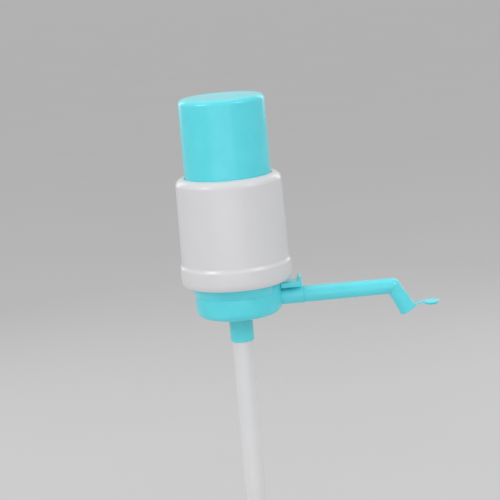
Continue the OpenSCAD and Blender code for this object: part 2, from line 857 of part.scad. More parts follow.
// The cap on the nozzle's end, in the nozzle's own frame, with the bead that its strap turns on
module cap_closed() {
    lift = close_gap;
    plug_r = mouth_d / 2 - plug_fit;
    plug_t = 1;
    lead = 0.35;
    x_join = -cap_d / 2 + 0.8;
    difference() {
        union() {
            rod(cap_d / 2, lift, lift + cap_t);
            rod(plug_r, -plug_l + lead, lift + cap_t / 2);
            translate([0, 0, -plug_l]) cylinder(r1 = plug_r - lead, r2 = plug_r, h = lead);
        }
        rod(plug_r - plug_t, -plug_l - past, lift - running_gap);
    }
    bar_y(hinge_bead_r, strap_w / 2, -hinge_r, 0);
    across(-strap_w / 2, strap_w / 2)
        polygon([[-hinge_r, lift], [x_join, lift + cap_t - strap_t], [x_join, lift + cap_t],
                 [-hinge_r, lift + strap_t]]);
}

module outlet_cap() {
    color(turquoise)
        at_nozzle_end()
            translate([-hinge_r, 0, 0])
                rotate([0, -cap_open, 0])
                    translate([hinge_r, 0, 0])
                        cap_closed();
}

// ---- Release lever ----

module lever_side_outline() {
    tip_lean = 0.7;
    tip_taper = 0.2;
    top = lever_z + tip_h;
    tip_x = lever_end - tip_lean - tip_t;
    polygon(concat(
        [[r_air, plate_z], [lever_end, plate_z], [lever_end - tip_lean, top], [tip_x, top]],
        edge(tip_x - tip_taper - tip_hollow, lever_z + tip_hollow, tip_hollow, 0, -90),
        [[r_air, lever_z]]
    ));
}

// One half of the lever's sides: the outer side wall and the ear on the pin
module lever_side() {
    block([r_air, lever_half - lever_side_t, side_z], [lever_end, lever_half, plate_z + lever_t / 2]);
    translate([pivot[0], ear_high, pivot[1]]) rotate([90, 0, 0]) cylinder(r = ear_r, h = lever_side_t);
    block([pivot[0] - ear_r, ear_low, pivot[1]], [pivot[0] + ear_r, ear_high, plate_z + lever_t / 2]);
}

module release_lever() {
    color(turquoise)
        difference() {
            union() {
                across(-lever_half, lever_half) lever_side_outline();
                lever_side();
                mirror([0, 1, 0]) lever_side();
                block([arm_x, -arm_half, plate_z], [arm_x + lever_t, arm_half, arm_top]);
                translate([spring_x, 0, 0]) rod(peg_r, plate_z - peg_h, plate_z + lever_t / 2);
            }
            rod(r_base + wall_gap, side_z - past, lever_z + past);
            bar_y(pin_d / 2 + pin_fit, lever_w, pivot[0], pivot[1]);
            bar_x(button_r, arm_x - past, arm_x + lever_t + past, vent_z);
        }
}

module lever_pin() {
    color(steel) bar_y(pin_d / 2, ear_high, pivot[0], pivot[1]);
}

module release_seal() {
    color(milky_silicone) {
        bar_x(vent_pad_r, arm_x - pad_t, arm_x, vent_z);
        bar_x(button_r, arm_x - pad_t / 2, arm_x + lever_t + flange_gap, vent_z);
    }
}

// ---- Release spring ----

spring_low = seat_z + wire_d / 2;
spring_high = plate_z - wire_d / 2;
spring_sides = 6;
spring_rings = ceil(8 * coil_turns);

function coil_point(t) = [
    coil_r * cos(360 * coil_turns * t),
    coil_r * sin(360 * coil_turns * t),
    spring_low + (spring_high - spring_low) * t
];
// Least distance between wire surfaces one turn apart
spring_gap = min([
    for (i = [0:spring_rings])
        for (j = [i + 6:1:spring_rings])
            norm(coil_point(i / spring_rings) - coil_point(j / spring_rings)) - wire_d
]);

module release_spring() {
    echo(spring_gap = spring_gap);
    points = [
        for (i = [0:spring_rings])
            let (c = coil_point(i / spring_rings), a = 360 * coil_turns * i / spring_rings)
            for (k = [0:spring_sides - 1])
                let (b = 360 * k / spring_sides)
                c + wire_d / 2 * [cos(b) * cos(a), cos(b) * sin(a), sin(b)]
    ];
    sides = [
        for (i = [0:spring_rings - 1])
            for (k = [0:spring_sides - 1])
                let (p = i * spring_sides + k, q = i * spring_sides + (k + 1) % spring_sides)
                each [[p, p + spring_sides, q], [q, p + spring_sides, q + spring_sides]]
    ];
    last = spring_rings * spring_sides;
    ends = [
        for (k = [1:spring_sides - 2])
            each [[0, k, k + 1], [last, last + k + 1, last + k]]
    ];
    color(steel)
        translate([spring_x, 0, 0])
            polyhedron(points = points, faces = concat(sides, ends));
}

pump_base();
base_deck();
duct_cover();
neck_seal();
neck_grip_ring();
outer_casing();
plunger_cap();
bellows();
bellows_clamp_ring();
clamp_screws();
bellows_top_plate();
inlet_valve();
outlet_valve();
suction_tube();
spout();
spout_o_ring();
outlet_cap();
release_lever();
lever_pin();
release_seal();
release_spring();
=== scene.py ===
import math

import bmesh
import bpy
from mathutils import Matrix, Quaternion, Vector


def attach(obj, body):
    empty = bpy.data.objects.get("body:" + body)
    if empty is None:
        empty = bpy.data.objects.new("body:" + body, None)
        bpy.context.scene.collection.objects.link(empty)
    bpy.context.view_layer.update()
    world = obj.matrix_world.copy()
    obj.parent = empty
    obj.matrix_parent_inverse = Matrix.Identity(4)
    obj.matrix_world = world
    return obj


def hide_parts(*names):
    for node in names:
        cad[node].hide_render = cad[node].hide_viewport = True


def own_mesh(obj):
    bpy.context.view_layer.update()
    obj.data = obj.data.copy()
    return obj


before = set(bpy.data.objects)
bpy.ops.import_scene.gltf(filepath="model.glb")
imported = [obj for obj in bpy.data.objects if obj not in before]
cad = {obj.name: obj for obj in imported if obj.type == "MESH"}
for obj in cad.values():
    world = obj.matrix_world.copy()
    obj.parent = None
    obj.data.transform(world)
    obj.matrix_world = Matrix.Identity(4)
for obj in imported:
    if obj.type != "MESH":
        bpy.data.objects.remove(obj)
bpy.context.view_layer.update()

MM = 0.001

# ---------------------------------------------------------------- sizes shared by several pieces, mm
# Z is 0 at the underside of the neck seal's flat ring, and the spout points along +X.

Z_BOTTOM, Z_CEILING, Z_WEB = -14.5, 2.0, 3.8            # the base's foot, and its ceiling's two sides
Z_WALL_TOP, Z_DECK, Z_RING = 2.0, 12.2, 21.4            # the base wall's step, the deck, the deck's ring
Z_CASING, Z_PLUNGER = 93.3, 153.0                       # the tops of the casing and of the plunger cap
Z_NIPPLE, Z_TUBE_TOP, Z_TUBE_END = -36.5, -20.5, -305.5
Z_SPOUT = -4.7                                          # the spout's axis
STUB_END, BEND_X = 49.8, 119.0
TILT = math.radians(28.8)                               # the nozzle's lean from the vertical
NOZZLE_L, HINGE_R, OPEN = 22.6, 9.6, math.radians(151.2)
SPRING_X = 43.0


# ---------------------------------------------------------------- materials

DRIFT_FROM, DRIFT_TO = 0.3, 0.7                         # the part of the noise that the colour drifts over
ROUGH_LOW, ROUGH_HIGH = 0.97, 1.03
GRAIN_DEPTH, COAT_ROUGH, GLOW_DEPTH = 0.0002, 0.15, 0.002


def noise_factor(nodes, links, scale, detail=3.0):
    """Noise over the object's own coordinates, from 0 to 1."""
    coord = nodes.new("ShaderNodeTexCoord")
    noise = nodes.new("ShaderNodeTexNoise")
    noise.inputs["Scale"].default_value = scale
    noise.inputs["Detail"].default_value = detail
    links.new(coord.outputs["Object"], noise.inputs["Vector"])
    return noise.outputs["Fac"]


def shade(name, low, high, rough, scale=60.0, bump=0.02, grain=2200.0, metal=0.0, coat=0.0,
          scatter=0.0, glow=(1, 1, 1)):
    """A moulded or metal finish: its colour and roughness drift a little, over a fine grain."""
    mat = bpy.data.materials.new(name)
    mat.use_nodes = True
    nodes, links = mat.node_tree.nodes, mat.node_tree.links
    bsdf = nodes["Principled BSDF"]
    drift = noise_factor(nodes, links, scale)
    ramp = nodes.new("ShaderNodeValToRGB")
    ramp.color_ramp.elements[0].position = DRIFT_FROM
    ramp.color_ramp.elements[0].color = (*low, 1)
    ramp.color_ramp.elements[1].position = DRIFT_TO
    ramp.color_ramp.elements[1].color = (*high, 1)
    links.new(drift, ramp.inputs["Fac"])
    links.new(ramp.outputs["Color"], bsdf.inputs["Base Color"])
    spread = nodes.new("ShaderNodeMapRange")
    spread.inputs["To Min"].default_value = rough * ROUGH_LOW
    spread.inputs["To Max"].default_value = rough * ROUGH_HIGH
    links.new(drift, spread.inputs["Value"])
    links.new(spread.outputs["Result"], bsdf.inputs["Roughness"])
    fine = noise_factor(nodes, links, grain, 2.0)
    relief = nodes.new("ShaderNodeBump")
    relief.inputs["Strength"].default_value = bump
    relief.inputs["Distance"].default_value = GRAIN_DEPTH
    links.new(fine, relief.inputs["Height"])
    links.new(relief.outputs["Normal"], bsdf.inputs["Normal"])
    bsdf.inputs["Metallic"].default_value = metal
    bsdf.inputs["Coat Weight"].default_value = coat
    bsdf.inputs["Coat Roughness"].default_value = COAT_ROUGH
    if scatter:
        bsdf.inputs["Subsurface Weight"].default_value = scatter
        bsdf.inputs["Subsurface Radius"].default_value = glow
        bsdf.inputs["Subsurface Scale"].default_value = GLOW_DEPTH
    return mat


turquoise = shade("turquoise_plastic", (0.095, 0.735, 0.83), (0.115, 0.775, 0.87), 0.36, coat=0.5,
                  scatter=0.15, glow=(0.4, 1.0, 1.0))
white = shade("white_plastic", (0.714, 0.714, 0.729), (0.726, 0.726, 0.741), 0.38, coat=0.5,
              scatter=0.1)
natural = shade("natural_plastic", (0.72, 0.73, 0.72), (0.78, 0.79, 0.78), 0.42, scatter=0.3)
tube_white = shade("tube_plastic", (0.755, 0.755, 0.765), (0.775, 0.775, 0.785), 0.3, coat=0.1,
                   scatter=0.2)
rubber = shade("dark_rubber", (0.018, 0.02, 0.022), (0.03, 0.032, 0.034), 0.6, bump=0.06)
silicone = shade("milky_silicone", (0.66, 0.69, 0.68), (0.72, 0.75, 0.74), 0.5, scatter=0.4)
steel = shade("steel", (0.5, 0.5, 0.51), (0.62, 0.62, 0.63), 0.28, metal=1.0)

# the CAD nodes that stay as they are, and their finish
cad_finish = {
    "base_deck": turquoise, "duct_cover": turquoise, "bellows_clamp_ring": white,
    "clamp_screws": steel, "bellows_top_plate": natural, "inlet_valve": rubber,
    "outlet_valve": rubber, "spout_o_ring": rubber, "lever_pin": steel, "release_seal": silicone,
}
for node, finish in cad_finish.items():
    cad[node].data.materials.clear()
    cad[node].data.materials.append(finish)


# ---------------------------------------------------------------- mesh tools

WELD = 1e-7                                             # points nearer than this, in metres, become one
CREASE = 30.0                                           # edges sharper than this, in degrees, stay sharp


def put(name, verts, faces, finish, crease=CREASE, place=None):
    """A closed mesh object from points in mm, its faces turned outwards."""
    if place is not None:
        verts = [place @ Vector(v) for v in verts]
    mesh = bpy.data.meshes.new(name)
    mesh.from_pydata([(v[0] * MM, v[1] * MM, v[2] * MM) for v in verts], [], faces)
    mesh.validate()
    closed = bmesh.new()
    closed.from_mesh(mesh)
    bmesh.ops.remove_doubles(closed, verts=closed.verts, dist=WELD)
    bmesh.ops.recalc_face_normals(closed, faces=closed.faces)
    closed.to_mesh(mesh)
    closed.free()
    mesh.materials.append(finish)
    made = bpy.data.objects.new(name, mesh)
    bpy.context.scene.collection.objects.link(made)
    smooth(made, crease)
    return made


def smooth(made, crease):
    """Smooth shading, but for edges sharper than crease degrees."""
    made.data.polygons.foreach_set("use_smooth", [True] * len(made.data.polygons))
    made.data.set_sharp_from_angle(angle=math.radians(crease))


NEARLY_STRAIGHT = math.radians(89)                      # half the angle of a corner too flat to round
MOST_REACH = 0.48                                       # the share of a side that one corner may take


def soften(corners, steps=5):
    """The outline through (a, b, radius) corners, each rounded to its radius."""
    line = []
    count = len(corners)
    for i, (a, b, radius) in enumerate(corners):
        here = Vector((a, b))
        back = Vector(corners[i - 1][:2]) - here
        on = Vector(corners[(i + 1) % count][:2]) - here
        half = back.angle(on) / 2 if radius > 0 else 0
        if radius <= 0 or half > NEARLY_STRAIGHT:
            line.append((a, b))
            continue
        u, v = back.normalized(), on.normalized()
        reach = min(radius / math.tan(half), MOST_REACH * back.length, MOST_REACH * on.length)
        size = reach * math.tan(half)
        centre = here + (u + v).normalized() * (size / math.sin(half))
        start, end = here + u * reach - centre, here + v * reach - centre
        turn = math.atan2(start.x * end.y - start.y * end.x, start.dot(end))
        for k in range(steps + 1):
            t = turn * k / steps
            line.append((centre.x + start.x * math.cos(t) - start.y * math.sin(t),
                         centre.y + start.x * math.sin(t) + start.y * math.cos(t)))
    return line


ON_AXIS = 1e-6
ALL_ROUND = 360.0


def turned(outline, segments, first=0.0, sweep=ALL_ROUND):
    """Points and faces of a closed (radius, height) outline turned about Z."""
    whole = sweep == ALL_ROUND
    rings = segments if whole else segments + 1
    verts, index = [], []
    for r, z in outline:
        if r < ON_AXIS:
            index.append([len(verts)] * rings)
            verts.append((0, 0, z))
            continue
        row = []
        for k in range(rings):
            t = math.radians(first + sweep * k / segments)
            row.append(len(verts))
            verts.append((r * math.cos(t), r * math.sin(t), z))
        index.append(row)
    faces = []
    for i in range(len(outline)):
        a, b = index[i], index[(i + 1) % len(outline)]
        for k in range(segments):
            m = (k + 1) % rings
            loop = [a[k], a[m], b[m], b[k]]
            loop = [v for j, v in enumerate(loop) if v != loop[j - 1]]
            if len(set(loop)) >= 3:
                faces.append(loop)
    if not whole:
        faces.append([row[0] for row in index][::-1])
        faces.append([row[-1] for row in index])
    return verts, faces


def lofted(loops, close=False):
    """Points and faces through equal loops of points, capped at both ends unless it closes on itself."""
    size = len(loops[0])
    verts = [p for loop in loops for p in loop]
    faces = []
    for i in range(len(loops) if close else len(loops) - 1):
        j = (i + 1) % len(loops)
        for k in range(size):
            m = (k + 1) % size
            faces.append([i * size + k, i * size + m, j * size + m, j * size + k])
    if not close:
        faces.append(list(range(size))[::-1])
        faces.append([(len(loops) - 1) * size + k for k in range(size)])
    return verts, faces


MITRE_LEAST = 0.4                                       # keeps a sharp corner's inset point from running off


def inset(line, distance):
    """A closed outline moved inwards by a distance."""
    count = len(line)
    area = sum(line[i - 1][0] * line[i][1] - line[i][0] * line[i - 1][1] for i in range(count))
    side = distance if area > 0 else -distance
    result = []
    for i in range(count):
        p, q, s = Vector(line[i - 1]), Vector(line[i]), Vector(line[(i + 1) % count])
        u, v = (q - p).normalized(), (s - q).normalized()
        n = Vector((-u.y - v.y, u.x + v.x))
        if n.length > ON_AXIS:
            n = n.normalized() * (1 / max(math.cos(u.angle(v) / 2), MITRE_LEAST))
        else:
            n = Vector((-u.y, u.x))
        result.append(tuple(q + n * side))
    return result


def slab(line, low, high, edge, along="y", steps=4):
    """A plate with this outline between two places along Y or Z, its rims rounded."""
    def at(point, h):
        a, b = point
        return (a, h, b) if along == "y" else (a, b, h)

    turn = [math.pi / 2 * k / steps for k in range(steps + 1)]
    rims = [(edge * (1 - math.sin(t)), inset(line, edge * (1 - math.cos(t)))) for t in turn]
    loops = [[at(p, low + h) for p in rim] for h, rim in rims[::-1]]
    loops += [[at(p, high - h) for p in rim] for h, rim in rims]
    return lofted(loops)


def merged(*parts):
    """Several points-and-faces pairs as one."""
    verts, faces = [], []
    for v, f in parts:
        base = len(verts)
        verts += list(v)
        faces += [[i + base for i in loop] for loop in f]
    return verts, faces


def moved(part, place):
    """The same points and faces, elsewhere."""
    verts, faces = part
    return [tuple(place @ Vector(v)) for v in verts], faces


def combine(target, operation, *others):
    """Joins meshes to the target, or cuts them from it, and keeps only the result."""
    for other in others:
        tool = target.modifiers.new("solid", "BOOLEAN")
        tool.operation = operation
        tool.solver = "EXACT"
        tool.object = other
        bpy.context.view_layer.update()
        graph = bpy.context.evaluated_depsgraph_get()
        result = bpy.data.meshes.new_from_object(target.evaluated_get(graph))
        target.modifiers.clear()
        old = target.data
        target.data = result
        bpy.data.meshes.remove(old)
        gone = other.data
        bpy.data.objects.remove(other)
        bpy.data.meshes.remove(gone)


ABOUT_X = Matrix.Rotation(math.radians(90), 4, "Y")
ABOUT_Y = Matrix.Rotation(math.radians(-90), 4, "X")


def rod(radius, low, high, edge, segments, place=None):
    """A round bar along Z between two heights, its ends rounded."""
    line = soften([(0, low, 0), (radius, low, edge), (radius, high, edge), (0, high, 0)], 3)
    part = turned(line, segments)
    return moved(part, place) if place is not None else part


def finish_piece(made, body, node):
    """Says which body a piece moves with, and the CAD node that it stands in for."""
    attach(made, body)
    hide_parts(node)


# ---------------------------------------------------------------- plunger cap

R_PLUNGER, R_PLUNGER_IN, Z_FOOT, R_FLANGE, FLANGE_H = 32.9, 31.1, 76.2, 37.9, 2.5
RIB_IN, RIB_OUT, Z_RIB_LOW, Z_RIB_HIGH, RIB_HALF, RIBS = 9, 28, 147.0, 151.6, 0.8, 6
LARGE_SEGMENTS = 320
cap_line = soften([
    (0, Z_PLUNGER - 0.35, 0), (R_PLUNGER - 9, Z_PLUNGER - 0.1, 12), (R_PLUNGER, Z_PLUNGER, 4.4),
    (R_PLUNGER, Z_FOOT + FLANGE_H, 0.4), (R_FLANGE, Z_FOOT + FLANGE_H, 0.4), (R_FLANGE, Z_FOOT, 0.4),
    (R_PLUNGER_IN, Z_FOOT, 0.4), (R_PLUNGER_IN, Z_PLUNGER - 2.2, 2.0), (0, Z_PLUNGER - 2.3, 0)], 10)
rib_line = soften([(RIB_IN, Z_RIB_LOW, 0.5), (RIB_OUT, Z_RIB_LOW, 0.5), (RIB_OUT, Z_RIB_HIGH, 0.2),
                   (RIB_IN, Z_RIB_HIGH, 0.2)], 3)
rib = slab(rib_line, -RIB_HALF, RIB_HALF, 0.3)
ribs = [moved(rib, Matrix.Rotation(math.radians(360 / RIBS * i), 4, "Z")) for i in range(RIBS)]
plunger = put("plunger_cap_shell", *merged(turned(cap_line, LARGE_SEGMENTS), *ribs), turquoise)
finish_piece(plunger, "plunger", "plunger_cap")

# ---------------------------------------------------------------- casing

R_SKIRT, R_FOOT, R_SHOULDER, Z_SKIRT_LOW, Z_STEP, STEP_H = 42.7, 41.2, 40.4, 10.6, 21.6, 6.4
R_STEP_LOW, Z_STEP_LOW, STEP_ROWS = 42.45, 24.2, 16     # the rounded step from the skirt up to the wall
R_CASING_IN, R_RECESS = 38.2, 39.5                      # the wall's inside, and the recess over the deck
R_GUIDE, R_GUIDE_OUT, Z_GUIDE = 33.3, 34.9, 79.0        # the sleeve that guides the plunger cap
Z_ROOF, LIP = 91.1, 0.6
SKIRT_ROUND, SHOULDER_ROUND = 2.6, 6.2


def oval(cx, cz, r_x, r_z, start, end, steps):
    """Points on an elliptic edge about (cx, cz) between two angles in degrees."""
    turn = [math.radians(start + (end - start) * k / steps) for k in range(steps + 1)]
    return [(cx + r_x * math.cos(t), cz + r_z * math.sin(t)) for t in turn]


step_line = [(R_SKIRT, Z_STEP - 0.9)]
for k in range(STEP_ROWS + 1):
    fall = (1 + math.cos(math.pi * k / STEP_ROWS)) / 2
    step_line.append((R_FOOT + (R_STEP_LOW - R_FOOT) * fall,
                      Z_STEP_LOW + (Z_STEP + STEP_H - Z_STEP_LOW) * k / STEP_ROWS))
casing_line = soften([(R_CASING_IN, 60.0, 0), (R_CASING_IN, Z_RING, 0.2), (R_RECESS, Z_RING, 0.2),
                      (R_RECESS, Z_SKIRT_LOW, 0.25), (R_SKIRT - 2.8, Z_SKIRT_LOW, 0)], 6)
casing_line += oval(R_SKIRT - SKIRT_ROUND, Z_SKIRT_LOW + 6, SKIRT_ROUND, 6, -90, 0, 14) + step_line
casing_line += oval(R_SHOULDER - SHOULDER_ROUND, Z_CASING - SHOULDER_ROUND, SHOULDER_ROUND, SHOULDER_ROUND,
                    0, 90, 16)
casing_line += oval(33.9, Z_CASING - LIP, LIP, LIP, 90, 180, 6)
casing_line += soften([(R_GUIDE, 85.0, 0), (R_GUIDE, Z_GUIDE, 0.4), (R_GUIDE_OUT, Z_GUIDE, 0.4),
                       (R_GUIDE_OUT, 88.7, 0.4), (35.8, Z_ROOF, 0.4), (R_CASING_IN, Z_ROOF, 2.2),
                       (R_CASING_IN, 86.0, 0)], 5)
casing = put("casing_shell", *turned(casing_line, LARGE_SEGMENTS), white)
finish_piece(casing, "base", "outer_casing")

# ---------------------------------------------------------------- base

R_BASE, R_FLARE, R_STEP, CUT_X = 33.2, 38.3, 32.7, 25.8
R_WALL_IN, R_SOCKET, R_GROOVE, Z_GROOVE_LOW, Z_GROOVE_HIGH = 31.6, 28.2, 29.0, -12.2, -3.2
R_NIPPLE, R_TUBE_SEAT, R_SUCTION = 9.2, 7.85, 6.2
BASE_SEGMENTS, WALL_SEGMENTS = 192, 42                  # both 1.875 degrees, so their facets meet
WALL_HALF = 39.375                                      # degrees each side of the spout
Z_VENT, R_AIR_HOLE, AIR_HOLE_OUT = 9.9, 3.0, 14.5
R_STUB, STUB_IN = 6.65, 31.9

# The flared band runs round the back, and stops where the plain wall beside the spout begins.
bottom_edge = oval(R_BASE - 4.0, Z_BOTTOM + 6.0, 4.0, 6.0, 0, -90, 14)
base_line = soften([
    (0, Z_WEB, 0), (R_WALL_IN, Z_WEB, 0.4), (R_WALL_IN, Z_DECK, 0), (R_FLARE, Z_DECK, 0.3),
    (R_STEP, Z_WALL_TOP, 0.15), (R_BASE, Z_WALL_TOP - 0.05, 0.25), *[(r, z, 0) for r, z in bottom_edge],
    (28.9, Z_BOTTOM, 0.1), (R_SOCKET, Z_BOTTOM + 0.7, 0.2),
    (R_SOCKET, Z_GROOVE_LOW, 0.1), (R_GROOVE, Z_GROOVE_LOW, 0.1),
    (R_GROOVE, Z_GROOVE_HIGH, 0.1), (R_SOCKET, Z_GROOVE_HIGH, 0.1),
    (R_SOCKET, Z_CEILING, 0.2), (R_NIPPLE, Z_CEILING, 0.8), (R_NIPPLE, Z_NIPPLE, 0.6),
    (R_TUBE_SEAT, Z_NIPPLE, 0.3), (R_TUBE_SEAT, Z_TUBE_TOP, 0.1), (R_SUCTION, Z_TUBE_TOP, 0.1),
    (R_SUCTION, 1.0, 0.5), (0, 1.0, 0)], 6)
collar = put("collar", *turned(base_line, BASE_SEGMENTS), turquoise)
cut_box = slab([(CUT_X, -45), (50, -45), (50, 45), (CUT_X, 45)], Z_WALL_TOP, 13.2, 0.0, "z", 1)
combine(collar, "DIFFERENCE", put("cut_tool", *cut_box, turquoise))

wall_line = soften([(R_WALL_IN, 0.5, 0), (R_BASE - 0.2, 0.5, 0), (R_BASE - 0.2, 1.6, 0), (R_BASE, 1.75, 0),
                    (R_BASE, Z_DECK, 0.15), (R_WALL_IN, Z_DECK, 0)], 4)
wall = turned(wall_line, WALL_SEGMENTS, -WALL_HALF, 2 * WALL_HALF)
at_vent = Matrix.Translation((0, 0, Z_VENT)) @ ABOUT_X
at_stub = Matrix.Translation((0, 0, Z_SPOUT)) @ ABOUT_X
vent_seat = rod(2.1, 32.0, 33.6, 0.15, 48, at_vent)
stub_line = soften([(0, STUB_IN, 0), (R_STUB, STUB_IN, 0.1), (R_STUB, STUB_END, 0.2), (0, STUB_END, 0)], 6)
stub = moved(turned(stub_line, 96), at_stub)
for name, part in (("wall", wall), ("vent_seat", vent_seat), ("stub", stub)):
    combine(collar, "UNION", put(name + "_tool", *part, turquoise))

air_hole = rod(R_AIR_HOLE, 0.5, 5.0, 0.0, 48)
holes = [moved(air_hole, Matrix.Rotation(math.radians(a), 4, "Z") @ Matrix.Translation((AIR_HOLE_OUT, 0, 0)))
         for a in (90, 180, 270)]
bore_line = [(0, 32.6), (3.6, 32.6), (3.6, 36.5), (5.45, 36.5), (5.45, 51), (0, 51)]
bore = moved(turned(bore_line, 64), at_stub)
vent = rod(1.1, 30.0, 35.0, 0.0, 32, at_vent)
for part in (*holes, bore, vent):
    combine(collar, "DIFFERENCE", put("hole_tool", *part, turquoise))
smooth(collar, 28)
finish_piece(collar, "base", "pump_base")

# the lever's lug, the spring's seat, and the four fins that stiffen the nipple
lug = slab(soften([(32.4, 0.5, 0.1), (37.65, 0.5, 0.1), (37.65, 3.35, 0.1), (37.2, 4.35, 0.7),
                   (36.2, 4.8, 1.2), (35.2, 4.35, 0.7), (34.7, 3.35, 0.2), (32.4, 3.3, 0.1)], 5),
           -2.4, 2.4, 0.2)
seat = merged(rod(2.25, -0.1, 2.1, 0.25, 40), rod(1.15, 1.6, 2.9, 0.25, 40))
seat = moved(seat, Matrix.Translation((SPRING_X, 0, 0)))
fin = slab(soften([(8.6, 2.4, 0.1), (18.5, 2.4, 0.1), (18.5, 1.0, 0.4), (9.2, -9.0, 0.6),
                   (8.6, -9.0, 0.1)], 4), -0.8, 0.8, 0.25)
fins = [moved(fin, Matrix.Rotation(math.radians(a), 4, "Z")) for a in (45, 135, 225, 315)]
details = put("collar_details", *merged(seat, lug, *fins), turquoise)
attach(details, "base")

# ---------------------------------------------------------------- seal, grip ring, suction tube

seal_line = soften([(20.5, Z_CEILING, 0.2), (20.5, -4.0, 0.4), (21.9, -4.0, 0.5), (22.5, 0.0, 0.3),
                    (28.0, 0.0, 0.4), (28.0, Z_CEILING, 0.2)], 5)
seal = put("neck_seal_ring", *turned(seal_line, 128), rubber)
finish_piece(seal, "base", "neck_seal")

GRIP_LOW, GRIP_H, R_GRIP, R_TOOTH_ROOT, R_TOOTH_TIP = -12.1, 8.8, 28.9, 27.9, 27.6
GRIP_GAP = 7.0
teeth = []
for i in (2, 1, 0):
    teeth += [(R_TOOTH_ROOT, GRIP_LOW + (i + 1) * GRIP_H / 3, 0.1),
              (R_TOOTH_TIP, GRIP_LOW + (i + 0.6) * GRIP_H / 3, 0.1)]
grip_line = soften([(R_GRIP, GRIP_LOW, 0.15), (R_GRIP, GRIP_LOW + GRIP_H, 0.15), *teeth,
                    (R_TOOTH_ROOT, GRIP_LOW, 0.1)], 3)
half_gap = math.degrees(math.asin(GRIP_GAP / 2 / R_SOCKET))
grip = put("grip_ring", *turned(grip_line, 128, 180 + half_gap, 360 - 2 * half_gap), natural)
finish_piece(grip, "base", "neck_grip_ring")

R_TUBE, R_TUBE_IN = 7.8, 6.3
tube_line = soften([(R_TUBE_IN, Z_TUBE_TOP, 0.3), (R_TUBE_IN, Z_TUBE_END, 0.35), (R_TUBE, Z_TUBE_END, 0.45),
                    (R_TUBE, Z_TUBE_TOP, 0.3)], 5)
tube = put("suction_pipe", *turned(tube_line, 96), tube_white)
finish_piece(tube, "suction_tube", "suction_tube")

# ---------------------------------------------------------------- bellows

FOLDS, FOLD_LOW, FOLD_HIGH, R_FOLD, R_ROOT, SKIN = 14, 21.4, 140.6, 29.2, 22.4, 1.4
R_BELLOWS_IN, R_LOW_FLANGE, R_TOP_FLANGE = 21.0, 26.8, 28.5
Z_LOW_FLANGE, Z_TOP_FLANGE, FLANGE_T = 14.6, 143.0, 1.6
pitch = (FOLD_HIGH - FOLD_LOW) / FOLDS
outer = []
for i in range(FOLDS):
    z = FOLD_LOW + i * pitch
    outer += [(R_ROOT, z + 0.12 * pitch, 0.6), (R_FOLD, z + 0.42 * pitch, 0.8),
              (R_FOLD, z + 0.58 * pitch, 0.8), (R_ROOT, z + 0.88 * pitch, 0.6)]
inner = [(r - SKIN, z, f) for r, z, f in outer][::-1]
bellows_line = soften([
    (R_BELLOWS_IN, Z_LOW_FLANGE, 0.2), (R_LOW_FLANGE, Z_LOW_FLANGE, 0.3),
    (R_LOW_FLANGE, Z_LOW_FLANGE + FLANGE_T, 0.3), (R_ROOT, Z_LOW_FLANGE + FLANGE_T, 0.4), *outer,
    (R_ROOT, Z_TOP_FLANGE, 0.4), (R_TOP_FLANGE, Z_TOP_FLANGE, 0.3),
    (R_TOP_FLANGE, Z_TOP_FLANGE + FLANGE_T, 0.3), (R_BELLOWS_IN, Z_TOP_FLANGE + FLANGE_T, 0.2), *inner], 4)
folds = put("bellows_skin", *turned(bellows_line, 96), natural)
finish_piece(folds, "base", "bellows")
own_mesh(folds)

# ---------------------------------------------------------------- spout

ALONG_NOZZLE = Vector((math.sin(TILT), 0, -math.cos(TILT)))
ACROSS_NOZZLE = Vector((math.cos(TILT), 0, math.sin(TILT)))
BEND = math.radians(90) - TILT
R_SPOUT, R_MID, R_NOZZLE, R_END = 6.4, 6.1, 5.6, 6.8    # the outside, from the stub to the nozzle's mouth
R_SPIGOT, R_SPIGOT_IN, R_RING, R_BORE, R_MOUTH = 5.4, 3.6, 4.25, 4.5, 5.05
SPIGOT_IN, RING_FROM, RING_TO = 36.8, 42.6, 44.0
FLARE = (R_END - R_NOZZLE) / NOZZLE_L
INNER_CORNER = 1.2                                      # how tight the bend's inner side is
SIDES, BEND_ROWS, LENGTH_ROWS = 72, 10, 6


def bend_row(radius, share):
    """A ring of points a share of the way round the bend, rounded outside and tight inside."""
    row = []
    middle = Vector((math.sin(BEND / 2), math.cos(BEND / 2)))
    turn = BEND * share
    arm = Vector((math.sin(turn), math.cos(turn)))
    for k in range(SIDES):
        t = 2 * math.pi * k / SIDES
        e, y = radius * math.cos(t), radius * math.sin(t)
        fillet = 0.5 * (e + math.sqrt(e * e + 4 * INNER_CORNER ** 2))
        centre = (e - fillet) / math.cos(BEND / 2)
        at = middle * centre + arm * fillet
        row.append((BEND_X + at.x, y, Z_SPOUT + at.y))
    return row


def straight_row(x, radius):
    """A ring of points about the spout's straight length."""
    turn = [2 * math.pi * k / SIDES for k in range(SIDES)]
    return [(x, radius * math.sin(t), Z_SPOUT + radius * math.cos(t)) for t in turn]


def nozzle_row(along, radius):
    """A ring of points about the nozzle, some way out along it."""
    row = []
    for k in range(SIDES):
        t = 2 * math.pi * k / SIDES
        p = Vector((BEND_X, 0, Z_SPOUT)) + ALONG_NOZZLE * along + ACROSS_NOZZLE * radius * math.cos(t)
        row.append((p.x, radius * math.sin(t), p.z))
    return row


# the spigot with its ring groove, and the shoulder that meets the stub
rows = [straight_row(x, r) for x, r in (
    (SPIGOT_IN, R_SPIGOT_IN), (SPIGOT_IN, 5.2), (37.0, R_SPIGOT), (RING_FROM, R_SPIGOT), (RING_FROM, R_RING),
    (RING_TO, R_RING), (RING_TO, R_SPIGOT), (49.85, R_SPIGOT), (49.85, 6.2), (49.9, 6.34), (50.05, R_SPOUT))]
